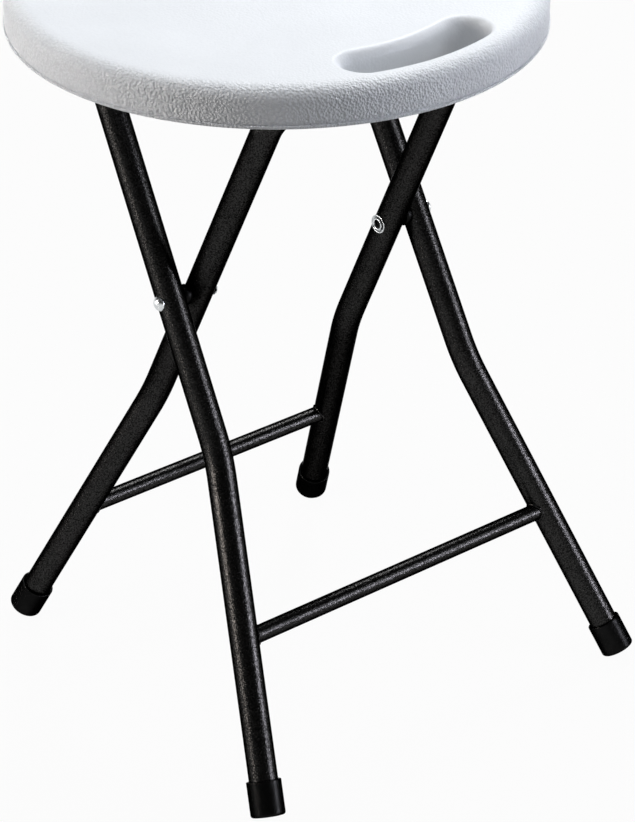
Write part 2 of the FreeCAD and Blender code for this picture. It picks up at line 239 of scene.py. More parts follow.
def from_seat_axis(tree, coordinates):
    """The distance from the seat's upright axis."""
    flat = {0: coordinates, 1: (1, 1, 0), 2: -seat_centre}
    offset = add_node(tree, "ShaderNodeVectorMath", flat, operation="MULTIPLY_ADD").outputs["Vector"]
    return add_node(tree, "ShaderNodeVectorMath", {0: offset}, operation="LENGTH").outputs["Value"]


def seat_plastic():
    """White plastic with a leather grain, and painted shade in the grain's pits."""
    material, tree, shader, coordinates = new_finish("seat_plastic")
    cells = pebbles(tree, coordinates)
    fine = noise(tree, coordinates, specks_per_metre, detail=3.0)
    depth = spread(tree, from_seat_axis(tree, coordinates), top_depth, wall_depth, grain_starts, grain_full)
    bump(tree, shader, combine(tree, cells, fine, speck_share), depth, distance=1 * MM)
    # painted shade: the grain's pits are darkened, the more the nearer the wall
    pit_shade = arithmetic(tree, "MULTIPLY", depth, cells)
    clouds = noise(tree, coordinates, clouds_per_metre, detail=4.0)
    tone_and_pit_shade = spread(tree, combine(tree, clouds, pit_shade, pit_shade_share), 0.0, 1.0, from_low=-0.5, from_high=0.7)
    tint = colours(tree, tone_and_pit_shade, pit_shade_and_tone_white, bright_tone_white, from_low=0.0, from_high=1.0)
    sheen = spread(tree, fine, low=0.4, high=0.55)
    set_inputs(tree, shader, {"Base Color": tint, "Roughness": sheen, "IOR": 1.46})
    return material


white_plastic = seat_plastic()
print("made", white_plastic.name, "with", len(white_plastic.node_tree.nodes), "nodes")

# %% [markdown]
# ## Textured black powder coat
# The tubes carry a satin powder coat with a fine orange peel: up close it is a field of rounded bumps about
# a millimetre wide, which break the lamps' reflections into speckles. Two noises of different size make the
# bumps. A glossy paint would show the white surroundings as a bright line along both edges of a tube. This
# coat stays dark there, so its gloss is set up like a very dark metal whose edge tint is black: the base
# colour is then the small share of light that it reflects, and faint scuffs make that share uneven.

# %% Finish of the tubes
dark_edged = {"Metallic": 1.0, "Specular Tint": (0, 0, 0, 1)}
peel_per_metre, fine_peel_per_metre = 820.0, 2300.0
speckles_per_metre, scuffs_per_metre = 1250.0, 60.0
fine_peel_share, scuff_share = 0.4, 0.15
coat_dark, coat_light = (0.006, 0.0059, 0.0058), (0.034, 0.0334, 0.0328)


def powder_coat():
    """Black coat with rounded bumps."""
    material, tree, shader, coordinates = new_finish("black_powder_coat")
    peel = noise(tree, coordinates, peel_per_metre)
    fine = noise(tree, coordinates, fine_peel_per_metre)
    bump(tree, shader, combine(tree, peel, fine, fine_peel_share), strength=0.35, distance=0.5 * MM)
    scuffs = noise(tree, coordinates, scuffs_per_metre, detail=6.0, roughness=0.7)
    speckles = noise(tree, coordinates, speckles_per_metre, detail=1.0)
    worn = combine(tree, speckles, scuffs, scuff_share)
    tint = colours(tree, worn, coat_dark, coat_light, from_low=0.42, from_high=0.72)
    sheen = spread(tree, peel, low=0.2, high=0.3)
    set_inputs(tree, shader, {"Base Color": tint, "Roughness": sheen, **dark_edged})
    return material


black_coat = powder_coat()
print("made", black_coat.name, "with", len(black_coat.node_tree.nodes), "nodes")

# %% [markdown]
# ## Black moulded plastic and zinc plate
# The foot caps, spacers, clamps and hooks are plain black plastic: smoother than the coat, with only a
# faint mottle from the mould. Rivets, washers and screws are zinc plated steel, which is a bright metal
# whose roughness changes in small patches.

# %% Finishes of the small pieces
def moulded_black():
    """Black plastic with a faint mottle."""
    material, tree, shader, coordinates = new_finish("black_plastic")
    mottle = noise(tree, coordinates, scale=500.0, detail=3.0)
    bump(tree, shader, mottle, strength=0.3, distance=0.3 * MM)
    patches = noise(tree, coordinates, scale=90.0, detail=5.0, roughness=0.65)
    tint = colours(tree, patches, (0.006, 0.006, 0.006), (0.01, 0.01, 0.01), from_low=0.4, from_high=0.75)
    sheen = spread(tree, mottle, low=0.3, high=0.4)
    set_inputs(tree, shader, {"Base Color": tint, "Roughness": sheen, **dark_edged})
    return material


def zinc_plate():
    """Bright zinc with patches of duller plate."""
    material, tree, shader, coordinates = new_finish("zinc_steel")
    patches = noise(tree, coordinates, scale=700.0, detail=4.0, roughness=0.6)
    bump(tree, shader, noise(tree, coordinates, scale=2600.0), strength=0.2, distance=0.1 * MM)
    tint = colours(tree, patches, (0.56, 0.58, 0.59), (0.7, 0.72, 0.73))
    sheen = spread(tree, patches, low=0.16, high=0.34)
    set_inputs(tree, shader, {"Base Color": tint, "Roughness": sheen, "Metallic": 1.0})
    return material


black_plastic = moulded_black()
bright_zinc = zinc_plate()
print("made", black_plastic.name, "and", bright_zinc.name)

# %% [markdown]
# ## The seat's outside
# The seat is a turned shape: a flat top, a rounded edge, a straight grained wall and, under a fine groove,
# a thin lip where the two halves of the mould met. A Screw modifier could turn the profile, but the hand
# slot breaks the symmetry, so we lay the rings ourselves and keep the inner rings of the top and the
# underside open for the slot's faces.

# %% Rings of the seat
lip_proud = 0.6 * MM
lip_height = 2.2 * MM
lip_round, lip_under = 0.45 * MM, 1.5 * MM
groove = 0.9 * MM
edge_width = 10.0 * MM
edge_drop = 8.6 * MM
ring_margin = 0.3 * MM
seat_steps = 256


def quarter(steps):
    """Sine and cosine pairs over a quarter turn."""
    turns = [math.pi / 2 * i / steps for i in range(steps + 1)]
    return [(math.sin(turn), math.cos(turn)) for turn in turns]


def seat_profile():
    """Radius and height of the seat's outside, from the flat top round to the underside."""
    wall = seat_radius - lip_proud
    flat = wall - edge_width
    points = [(flat - ring_margin, seat_top)]
    points += [(flat + edge_width * s, seat_top - edge_drop * (1 - c)) for s, c in quarter(14)]
    lip_top = seat_under + lip_height
    points += [(wall, lip_top + 3 * groove), (wall, lip_top + groove)]
    points += [(wall - 0.2 * groove, lip_top + 0.8 * groove), (wall - groove, lip_top + 0.4 * groove)]
    points += [(wall - groove, lip_top), (wall, lip_top)]
    points += [(seat_radius - lip_round * (1 - s), lip_top - lip_round * (1 - c)) for s, c in quarter(3)[1:]]
    points += [(seat_radius - lip_under * (1 - c), seat_under + lip_under * (1 - s)) for s, c in quarter(6)]
    points += [(seat_radius - lip_under - ring_margin, seat_under)]
    return points


def turned_ring(bm, radius, height, steps):
    """One ring of vertices about the Z axis."""
    turns = [2 * math.pi * i / steps for i in range(steps)]
    return [bm.verts.new((radius * math.cos(t), radius * math.sin(t), height)) for t in turns]


def bridge(bm, rings):
    """Quads between neighbouring closed rings of equal count."""
    for near, far in zip(rings, rings[1:]):
        for i in range(len(near)):
            k = (i + 1) % len(near)
            bm.faces.new((near[i], near[k], far[k], far[i]))


seat_mesh = bmesh.new()
seat_rings = [turned_ring(seat_mesh, radius, height, seat_steps) for radius, height in seat_profile()]
bridge(seat_mesh, seat_rings)
print("seat outside has", len(seat_rings), "rings of", seat_steps)

# %% [markdown]
# ## The hand slot
# The slot is an arch about the seat's centre with round ends. We walk once round its outline and keep, at
# each point, the direction that leads out of the slot.

# %% Outline of the hand slot
handle_strap = 16.2 * MM
slot_half_width = 13.5 * MM
slot_half_angle = math.radians(16.7)
slot_radius = seat_radius - handle_strap - slot_half_width
arch_steps, end_steps = 40, 24


def level_way(angle):
    """The level direction at an angle from -Y towards +X."""
    return Vector((math.sin(angle), -math.cos(angle), 0))


def slot_outline():
    """Points of the slot's outline with their outward directions, in order round the slot."""
    outline = []

    def along_arch(radius, facing, angles):
        outline.extend((level_way(angle) * radius, level_way(angle) * facing) for angle in angles)

    def round_end(middle_angle, angles):
        middle = level_way(middle_angle) * slot_radius
        outline.extend((middle + level_way(angle) * slot_half_width, level_way(angle)) for angle in angles)

    def between(start, end, steps):
        return [start + (end - start) * i / steps for i in range(steps)]

    reach = slot_half_angle
    along_arch(slot_radius + slot_half_width, 1, between(-reach, reach, arch_steps))
    round_end(reach, between(reach, reach + math.pi, end_steps))
    along_arch(slot_radius - slot_half_width, -1, between(reach, -reach, arch_steps))
    round_end(-reach, between(math.pi - reach, 2 * math.pi - reach, end_steps))
    return outline


slot_path = slot_outline()
print("slot outline has", len(slot_path), "points")

# %% [markdown]
# ## The slot's edges and the seat's flat faces
# The slot's edge is not the same all round: towards the sitter it rolls in softly, and towards the rim it
# is a tighter crest. So each point of the outline gets its own edge width and depth, blended by how much
# the outline faces outwards. The flat top and underside are then filled between the open rings.

# %% Slot and fills of the seat
crest_width, crest_depth = 2.6 * MM, 3.0 * MM
roll_width, roll_depth = 6.6 * MM, 10.5 * MM
under_round = 1.2 * MM


def slot_rings(bm, outline):
    """Rings of the slot from the flat top, over its rolled edge, down its wall to the underside."""
    edges = []
    for place, way in outline:
        inward = (1 - way.dot(place.normalized())) / 2
        blend = inward * inward * (3 - 2 * inward)
        width = crest_width + (roll_width - crest_width) * blend
        depth = crest_depth + (roll_depth - crest_depth) * blend
        edges.append((width, depth))
    levels = [[(width + ring_margin, seat_top) for width, depth in edges]]
    for s, c in quarter(12):
        levels.append([(width * (1 - s), seat_top - depth * (1 - c)) for width, depth in edges])
    levels.append([(0, seat_under + 4 * under_round)] * len(edges))
    for s, c in quarter(4):
        levels.append([(under_round * (1 - c), seat_under + under_round * (1 - s))] * len(edges))
    levels.append([(under_round + ring_margin, seat_under)] * len(edges))
    rings = []
    for level in levels:
        ring = []
        for (place, way), (offset, height) in zip(outline, level):
            ring.append(bm.verts.new(place + way * offset + Vector((0, 0, height))))
        rings.append(ring)
    return rings


def fill_between(bm, outer, inner):
    """Fill the flat face between two closed rings."""
    edges = []
    for ring in (outer, inner):
        for i in range(len(ring)):
            edges.append(bm.edges.get((ring[i], ring[(i + 1) % len(ring)])))
    bmesh.ops.triangle_fill(bm, use_beauty=True, use_dissolve=False, edges=edges)


hand_slot = slot_rings(seat_mesh, slot_path)
bridge(seat_mesh, hand_slot)
fill_between(seat_mesh, seat_rings[0], hand_slot[0])
fill_between(seat_mesh, seat_rings[-1], hand_slot[-1])
bmesh.ops.translate(seat_mesh, verts=seat_mesh.verts, vec=seat_centre)
seat = object_from(seat_mesh, "seat_moulding")
seat.data.materials.append(white_plastic)
hand_over(seat, "seat_panel", "seat_plastic", "seat")

# %% [markdown]
# ## Bent tubes
# Each leg frame is one tube bent four times: two gentle bends where the legs splay and two tight corners at
# the top bar. A bevelled curve object would do, but a Geometry Nodes tree states the rule better: take the
# corner points, round each corner by its own bend radius, and sweep a circle along the result. The same
# tree sweeps the weld beads later, with its corner rounding switched off.

# %% Tree for a swept round bar
def new_tree(name, inputs):
    """A Geometry Nodes tree with named inputs; gives the tree and the sockets that bring them in."""
    tree = bpy.data.node_groups.new(name, "GeometryNodeTree")
    tree.interface.new_socket("Geometry", in_out="INPUT", socket_type="NodeSocketGeometry")
    for title, kind in inputs.items():
        tree.interface.new_socket(title, in_out="INPUT", socket_type="NodeSocket" + kind)
    tree.interface.new_socket("Geometry", in_out="OUTPUT", socket_type="NodeSocketGeometry")
    return tree, tree.nodes.new("NodeGroupInput").outputs


def finish_tree(tree, geometry, given):
    """End a tree: instances made real, and the finish set."""
    real = add_node(tree, "GeometryNodeRealizeInstances", {"Geometry": geometry}).outputs["Geometry"]
    paint = add_node(tree, "GeometryNodeSetMaterial", {"Geometry": real, "Material": given["Finish"]})
    add_node(tree, "NodeGroupOutput", {"Geometry": paint.outputs["Geometry"]})


def swept_bar_tree():
    """Sweep a circle along a path whose corners carry their own bend radius."""
    inputs = {"Bar Radius": "Float", "Sides": "Int", "Bend Steps": "Int", "Round Corners": "Bool",
              "Finish": "Material"}
    tree, given = new_tree("swept bar", inputs)
    path = add_node(tree, "GeometryNodeMeshToCurve", {"Mesh": given["Geometry"]}).outputs["Curve"]
    radius = add_node(tree, "GeometryNodeInputNamedAttribute", {"Name": "bend_radius"}, data_type="FLOAT")
    bends = {"Curve": path, "Radius": radius.outputs["Attribute"], "Count": given["Bend Steps"]}
    rounded = add_node(tree, "GeometryNodeFilletCurve", bends, mode="POLY").outputs["Curve"]
    choice = {"Switch": given["Round Corners"], "False": path, "True": rounded}
    line = add_node(tree, "GeometryNodeSwitch", choice, input_type="GEOMETRY").outputs["Output"]
    ring = {"Radius": given["Bar Radius"], "Resolution": given["Sides"]}
    circle = add_node(tree, "GeometryNodeCurvePrimitiveCircle", ring).outputs["Curve"]
    sweep = {"Curve": line, "Profile Curve": circle, "Fill Caps": True}
    finish_tree(tree, add_node(tree, "GeometryNodeCurveToMesh", sweep).outputs["Mesh"], given)
    return tree


def plan_object(name, points, edges):
    """An object of bare points and edges, for a tree to work on."""
    mesh = bpy.data.meshes.new(name)
    mesh.from_pydata(points, edges, [])
    return new_object(name, mesh)


def run_tree(obj, tree, **values):
    """Put a tree on an object, set its inputs by their identifiers and keep the resulting mesh."""
    modifier = obj.modifiers.new(tree.name, "NODES")
    modifier.node_group = tree
    for item in tree.interface.items_tree:
        title = item.name.lower().replace(" ", "_")
        if item.in_out == "INPUT" and title in values:
            modifier[item.identifier] = values[title]
    return applied(obj)


swept_bar = swept_bar_tree()
print("tree", swept_bar.name, "has", len(swept_bar.nodes), "nodes")

# %% [markdown]
# ## The two leg frames
# A frame lies in one leaning plane, so its points need only a place along the pivot axis and a distance up
# the slope. The outer frame's top leans back over the hinge bar, and the inner frame leans the other way.
# The feet end where a tilted cap's edge meets the floor.

# %% Leg frames
outer_half_width = 96.0 * MM
pivot_gap = 3.4 * MM
inner_half_width = outer_half_width - 2 * tube_radius - pivot_gap
upper_splay = math.radians(1.3)
lower_splay = math.radians(12.2)
bend_drop = 98 * MM
bend_radius = 140 * MM
corner_radius = 19 * MM
cap_wall = 1.75 * MM
cap_radius = tube_radius + cap_wall
cap_edge = 1.6 * MM
cap_floor = 3.5 * MM
foot_flat = 0.6 * MM


def on_frame(lean, x, rise):
    """The point of a frame's plane at X and at a distance up the slope from the pivot axis."""
    return pivot + Vector((x, rise * math.sin(lean), rise * math.cos(lean)))


def foot_drop(lean):
    """How far down the slope a cap ends, so that its tilted edge just meets the floor."""
    tilt = math.acos(math.cos(lower_splay) * math.cos(lean))
    below_middle = (cap_radius - cap_edge) * math.sin(tilt) + cap_edge * (1 - math.cos(tilt))
    return (pivot.z + foot_flat - below_middle) / math.cos(lean)


def leg_x(half_width, rise):
    """Half the spacing of the legs, which splay a little above the bend and more below it."""
    upper = half_width - max(rise, -bend_drop) * math.tan(upper_splay)
    return upper + max(-rise - bend_drop, 0) * math.tan(lower_splay)


def leg_corners(half_width, lean):
    """Corner of the top bar, bend and foot of the right leg."""
    rises = (hinge_bar.z - pivot.z) / math.cos(lean), -bend_drop, -foot_drop(lean)
    return [on_frame(lean, leg_x(half_width, rise), rise) for rise in rises]


def leg_up(half_width, lean):
    """The direction up the right leg from its foot."""
    bend, foot = leg_corners(half_width, lean)[1:]
    return (bend - foot).normalized()


def leg_frame(name, half_width, lean):
    """One bent tube from the left foot over the top bar to the right foot."""
    corner, bend, foot = leg_corners(half_width, lean)
    right = [corner, bend, foot + leg_up(half_width, lean) * cap_floor]
    left = [Vector((-p.x, p.y, p.z)) for p in reversed(right)]
    points = left + right
    path = plan_object(name, points, [(i, i + 1) for i in range(len(points) - 1)])
    radii = path.data.attributes.new("bend_radius", "FLOAT", "POINT")
    radii.data.foreach_set("value", [0, bend_radius, corner_radius, corner_radius, bend_radius, 0])
    return run_tree(path, swept_bar, bar_radius=tube_radius, sides=64, bend_steps=20, round_corners=True,
                    finish=black_coat)


outer_tube = leg_frame("outer_frame_tube", outer_half_width, outer_lean)
inner_tube = leg_frame("inner_frame_tube", inner_half_width, inner_lean)
hand_over(outer_tube, "outer_frame", "black_powder_coat", "outer_leg_frame")
hand_over(inner_tube, "inner_frame", "black_powder_coat", "inner_leg_frame")

# %% [markdown]
# ## Crossbars and their welds
# A thinner tube ties each pair of legs near the floor. Its ends are coped, that is cut to the round of the
# leg, so that they sit tight for welding. A boolean would leave a messy edge there. Instead each point of
# the bar's ring is carried on until it meets the leg, which a right triangle gives exactly. A second ring
# close to each end keeps the flat end from bending the shading of the whole bar. The same meeting line, a
# little wider, is the path of a small uneven weld bead.

# %% Crossbars
crossbar_radius = 5.4 * MM
outer_crossbar_drop = 206.5 * MM
inner_crossbar_drop = 205.8 * MM
bead_radius = 0.9 * MM
bar_sides = 48
end_share = 0.002


def end_ring(half_width, lean, drop, radius, side):
    """Where a round of the given radius about the crossbar meets the leg on one side."""
    off_plane_way = Vector((0, math.cos(lean), -math.sin(lean)))
    ring = []
    for i in range(bar_sides):
        turn = 2 * math.pi * i / bar_sides
        rise = -drop + radius * math.sin(turn)
        off_plane = radius * math.cos(turn)
        to_leg = math.sqrt(tube_radius ** 2 - off_plane ** 2) / math.cos(lower_splay)
        point = on_frame(lean, side * (leg_x(half_width, rise) - to_leg), rise)
        ring.append(point + off_plane_way * off_plane)
    return ring


def crossbar(name, half_width, lean, drop):
    """A coped bar between two legs, closed at its ends inside the weld."""
    bm = bmesh.new()
    left, right = [end_ring(half_width, lean, drop, crossbar_radius, side) for side in (-1, 1)]
    rings = []
    for share in (0, end_share, 1 - end_share, 1):
        rings.append([bm.verts.new(start.lerp(end, share)) for start, end in zip(left, right)])
    bridge(bm, rings)
    for ring in (rings[0], rings[-1]):
        middle = bm.verts.new(sum((v.co for v in ring), Vector()) / bar_sides)
        for i in range(bar_sides):
            bm.faces.new((ring[i], ring[(i + 1) % bar_sides], middle))
    bar = object_from(bm, name)
    bar.data.materials.append(black_coat)
    return bar


def weld_beads(name, half_width, lean, drop):
    """A bead round each end of a crossbar, a little uneven as hand welds are."""
    points, edges = [], []
    for side in (-1, 1):
        first = len(points)
        inside = end_ring(half_width, lean, drop, crossbar_radius, side)
        outside = end_ring(half_width, lean, drop, crossbar_radius + bead_radius, side)
        for i in range(bar_sides):
            wave = 0.35 + 0.2 * math.sin(7.3 * i) + 0.15 * math.sin(2.1 * i + side)
            points.append(inside[i].lerp(outside[i], wave))
            edges.append((first + i, first + (i + 1) % bar_sides))
    path = plan_object(name, points, edges)
    return run_tree(path, swept_bar, bar_radius=bead_radius, sides=10, bend_steps=1, round_corners=False,
                    finish=black_coat)


frame_sizes = {
    "outer": (outer_half_width, outer_lean, outer_crossbar_drop),
    "inner": (inner_half_width, inner_lean, inner_crossbar_drop),
}
for which, sizes in frame_sizes.items():
    body = which + "_frame"
    hand_over(crossbar(body + "_crossbar", *sizes), body, "black_powder_coat", which + "_crossbar")
    hand_over(weld_beads(body + "_weld_beads", *sizes), body, "black_powder_coat")

# %% [markdown]
# ## Setting out equal pieces
# Foot caps, rivets, washers, spacers and screws each come as several equal pieces. Copying objects by hand
# would repeat the same lines, so a second tree does it: every vertex of a plan mesh is a place, its aim
# attribute says which way the piece points, and one prototype is set at each. The prototypes stand upright
# at the origin.

# %% Tree for equal pieces
def set_out_tree():
    """Set one prototype at every point of a plan, turned along the point's aim and spun at random."""
    inputs = {"Prototype": "Object", "Spin": "Float", "Seed": "Int", "Finish": "Material"}
    tree, given = new_tree("set out pieces", inputs)
    source = {"Object": given["Prototype"], "As Instance": True}
    prototype = add_node(tree, "GeometryNodeObjectInfo", source).outputs["Geometry"]
    aim = add_node(tree, "GeometryNodeInputNamedAttribute", {"Name": "aim"}, data_type="FLOAT_VECTOR")
    upright = {"Vector": aim.outputs["Attribute"]}
    turn = add_node(tree, "FunctionNodeAlignRotationToVector", upright, axis="Z").outputs["Rotation"]
    draw = {3: given["Spin"], "Seed": given["Seed"]}
    angle = add_node(tree, "FunctionNodeRandomValue", draw, data_type="FLOAT").outputs[1]
    spin = add_node(tree, "FunctionNodeAxisAngleToRotation", {"Axis": (0, 0, 1), "Angle": angle})
    turns = {"Rotation": turn, "Rotate By": spin.outputs["Rotation"]}
    rotation = add_node(tree, "FunctionNodeRotateRotation", turns, rotation_space="LOCAL").outputs["Rotation"]
    plan = {"Points": given["Geometry"], "Instance": prototype, "Rotation": rotation}
    finish_tree(tree, add_node(tree, "GeometryNodeInstanceOnPoints", plan).outputs["Instances"], given)
    return tree


def set_out(name, prototype, places, finish, seed):
    """One mesh with the prototype at each (point, aim) place."""
    plan = plan_object(name, [point for point, aim in places], [])
    aims = plan.data.attributes.new("aim", "FLOAT_VECTOR", "POINT")
    aims.data.foreach_set("vector", [value for point, aim in places for value in aim])
    return run_tree(plan, set_out_pieces, prototype=prototype, spin=2 * math.pi, seed=seed, finish=finish)


def turned_prototype(name, profile, steps):
    """A closed turned shape about Z from (radius, height) points; a radius of zero is a pole."""
    bm = bmesh.new()
    rings = [turned_ring(bm, radius, height, steps) for radius, height in profile if radius > 0]
    bridge(bm, rings)
    for ring, (radius, height) in ((rings[0], profile[0]), (rings[-1], profile[-1])):
        if radius == 0:
            pole = bm.verts.new((0, 0, height))
            for i in range(steps):
                bm.faces.new((ring[i], ring[(i + 1) % steps], pole))
    if profile[0][0] > 0:
        bridge(bm, [rings[-1], rings[0]])
    return object_from(bm, name)


def dome(radius, height, steps):
    """Radius and height of points over a dome, from its rim to its pole."""
    ball = (radius ** 2 + height ** 2) / (2 * height)
    rim_turn = math.asin(radius / ball)
    turns = [rim_turn * (1 - step / steps) for step in range(steps + 1)]
    return [(ball * math.sin(turn), height - ball + ball * math.cos(turn)) for turn in turns]


set_out_pieces = set_out_tree()
print("tree", set_out_pieces.name, "has", len(set_out_pieces.nodes), "nodes")

# %% [markdown]
# ## Foot caps
# Each leg ends in a plastic cup pushed over the tube, with a rounded bottom edge and a plain eased rim at
# its mouth. It is a turned shape. Because the legs slope, a cap touches the floor only with its edge, which
# the stool's weight has worn to a small flat, so after setting out the caps we press any point below the
# floor up to it.

# %% Caps on the four feet
cap_length = 21.5 * MM
cap_bore = tube_radius + 0.05 * MM
cap_rim, mouth_width, mouth_depth = 0.5 * MM, 0.2 * MM, 0.3 * MM


def cap_profile():
    """Radius and height of a cap, from the middle of its end face to the floor of its bore."""
    points = [(0, 0), (cap_radius - 2 * cap_edge, 0)]
    points += [(cap_radius - cap_edge * (1 - s), cap_edge * (1 - c)) for s, c in quarter(6)]
    points += [(cap_radius, cap_edge + 1 * MM), (cap_radius, cap_length - 2 * cap_rim)]
    points += [(cap_radius - cap_rim * (1 - c), cap_length - cap_rim * (1 - s)) for s, c in quarter(4)]
    points += [(cap_bore + mouth_width, cap_length), (cap_bore, cap_length - mouth_depth)]
    return points + [(cap_bore, cap_floor), (0, cap_floor)]


def foot_places(half_width, lean):
    """The end faces of a frame's two caps, with the direction up the leg."""
    foot = leg_corners(half_width, lean)[-1]
    up = leg_up(half_width, lean)
    mirror = Vector((-1, 1, 1))
    return [(foot * mirror, up * mirror), (foot, up)]


cap = turned_prototype("cap_prototype", cap_profile(), 64)
for seed, (which, (half_width, lean, drop)) in enumerate(frame_sizes.items()):
    body = which + "_frame"
    caps = set_out(body + "_foot_caps", cap, foot_places(half_width, lean), black_plastic, seed)
    for vertex in caps.data.vertices:
        vertex.co.z = max(vertex.co.z, 0)
    hand_over(caps, body, "black_plastic", *pair(which + "_foot_cap"))
bpy.data.objects.remove(cap)

# %% [markdown]
# ## Pivot rivets, washers and spacers
# The legs turn on two tubular rivets: a domed head outside, and inside a tail rolled back over a washer.
# The washer is dished, with the black coat in its hollow as painted shade, so it shows as a bright rim, a
# dark ring, the bright roll of the tail and its dark bore. All are turned shapes. A black spacer disc keeps
# the tubes
# apart. The head's skirt goes down past the crown of the tube, so that no gap shows at its sides.

# %% Pivots
pivot_clearance = 0.45 * MM
head_radius, head_height = 4.7 * MM, 2.9 * MM
head_skirt, skirt_taper = 1.4 * MM, 0.2 * MM
rivet_bore, roll_radius, roll_hem = 2.9 * MM, 0.5 * MM, 0.1 * MM
bore_depth, tail_wall = 9.0 * MM, 0.4 * MM
washer_radius, washer_thickness = 6.0 * MM, 0.55 * MM
rim_width, hollow_floor = 0.65 * MM, 0.1 * MM
washer_lift, washer_play = 0.35 * MM, 0.3 * MM
roll_steps, rim_steps = 12, 8
spacer_radius, spacer_edge, spacer_bite = 6.5 * MM, 0.4 * MM, 2 * MM
spacer_length = pivot_gap - pivot_clearance + spacer_bite
spacer_face = inner_half_width + tube_radius + pivot_clearance
outer_face = outer_half_width + tube_radius
tail_face = inner_half_width - tube_radius - pivot_clearance + washer_lift


def head_profile():
    """The domed head, from its skirt in the tube's crown up to the pole."""
    skirt = [(0, -head_skirt), (head_radius - skirt_taper, -head_skirt)]
    return skirt + dome(head_radius, head_height, 10)


def tail_profile():
    """The rolled tail, from the dark floor of its bore out over the roll to the washer."""
    points = [(0, -bore_depth), (rivet_bore, -bore_depth), (rivet_bore, 0)]
    for step in range(1, roll_steps + 1):
        turn = math.pi * step / roll_steps
        points.append((rivet_bore + roll_radius * (1 - math.cos(turn)), roll_radius * math.sin(turn)))
    end = -bore_depth - tail_wall
    return points + [(rivet_bore + roll_radius, -roll_hem), (rivet_bore + tail_wall, end), (0, end)]


def washer_profile():
    """A thin dished ring with a rounded rim."""
    inner = rivet_bore + washer_play
    half = rim_width / 2
    points = [(inner, 0), (washer_radius, 0)]
    for step in range(rim_steps + 1):
        turn = math.pi * step / rim_steps
        height = washer_thickness - half + half * math.sin(turn)
        points.append((washer_radius - half + half * math.cos(turn), height))
    return points + [(washer_radius - rim_width, hollow_floor), (inner, hollow_floor)]


def spacer_profile():
    """A flat ring with eased outer corners."""
    flat = spacer_radius - spacer_edge
    points = [(rivet_bore, 0), (flat, 0), (spacer_radius, spacer_edge)]
    points += [(spacer_radius, spacer_length - spacer_edge), (flat, spacer_length)]
    return points + [(rivet_bore, spacer_length)]


def both_sides(x, outwards):
    """The pivot axis at plus and minus X, aimed outwards or inwards."""
    return [(pivot + Vector((side * x, 0, 0)), Vector((side * outwards, 0, 0))) for side in (-1, 1)]


def shade_washer_hollows(washers):
    """Give the floor of the washers' hollow the black coat, as painted shade."""
    # painted shade: a dark ring of black coat on the floor of the washers' hollow
    washers.data.materials.append(black_coat)
    for face in washers.data.polygons:
        from_axis = math.hypot(face.center.y - pivot.y, face.center.z - pivot.z)
        if from_axis < washer_radius - rim_width:
            face.material_index = 1


zinc = bright_zinc, "zinc_steel"
black = black_plastic, "black_plastic"
turned_pieces = [
    ("rivet_heads", head_profile(), both_sides(outer_face, 1), *zinc, []),
    ("rivet_tails", tail_profile(), both_sides(tail_face - washer_thickness, -1), *zinc, pair("pivot_rivet")),
    ("pivot_washers", washer_profile(), both_sides(tail_face, -1), *zinc, pair("pivot_washer")),
    ("pivot_spacers", spacer_profile(), both_sides(spacer_face, 1), *black, pair("pivot_spacer")),
]
for seed, (name, profile, places, finish, slot, nodes) in enumerate(turned_pieces):
    prototype = turned_prototype(name + "_prototype", profile, 48)
    pieces = set_out(name, prototype, places, finish, seed)
    if name == "pivot_washers":
        shade_washer_hollows(pieces)
    hand_over(pieces, "outer_frame", slot, *nodes)
    bpy.data.objects.remove(prototype)

# %% [markdown]
# ## Hinge clamps and latch hooks
# Under the seat, two straps hold the outer frame's top bar and two hooks catch the inner frame's bar. Each
# keeps one outline along the bar, so it is drawn once across the bar, extruded along it and given rounded
# edges by a Bevel modifier, the way a moulded fitting looks.

# %% Clamps and hooks
cradle_radius = tube_radius + 0.4 * MM
clamp_reach = cradle_radius + 3.0 * MM
hook_reach = cradle_radius + 3.5 * MM
flange_length = 12.0 * MM
flange_thickness = 4.0 * MM
clamp_low, clamp_high = corners("right_hinge_clamp")
hook_low, hook_high = corners("right_latch_hook")
clamp_x, clamp_width = (clamp_low.x + clamp_high.x) / 2, clamp_high.x - clamp_low.x
hook_x, hook_width = (hook_low.x + hook_high.x) / 2, hook_high.x - hook_low.x
hook_wrap_degrees = 22
fitting_edge = 0.7 * MM


def arc(middle, radius, start, end, steps):
    """Points (y, z) on an arc about a bar, with angles in degrees from +Y towards +Z."""
    turns = [math.radians(start + (end - start) * i / steps) for i in range(steps + 1)]
    return [(middle.y + radius * math.cos(t), middle.z + radius * math.sin(t)) for t in turns]


def clamp_outline():
    """A strap under the hinge bar with a flange on each side."""
    y = hinge_bar.y
    low = seat_under - flange_thickness
    end = clamp_reach + flange_length
    points = [(y + end, seat_under), (y + cradle_radius, seat_under)]
    points += arc(hinge_bar, cradle_radius, 0, -180, 20)
    points += [(y - cradle_radius, seat_under), (y - end, seat_under), (y - end, low), (y - clamp_reach, low)]
    points += arc(hinge_bar, clamp_reach, -180, 0, 24)
    return points + [(y + clamp_reach, low), (y + end, low)]


def hook_outline():
    """A cradle on the outer side of the latch bar, with one flange away from the bar."""
    y = latch_bar.y
    points = [(y, seat_under)] + arc(latch_bar, cradle_radius, 90, 180 + hook_wrap_degrees, 16)
    lip_low = points[-1][1]
    low = seat_under - flange_thickness
    end = y - hook_reach - flange_length
    return points + [(y - hook_reach, lip_low), (y - hook_reach, low), (end, low), (end, seat_under)]


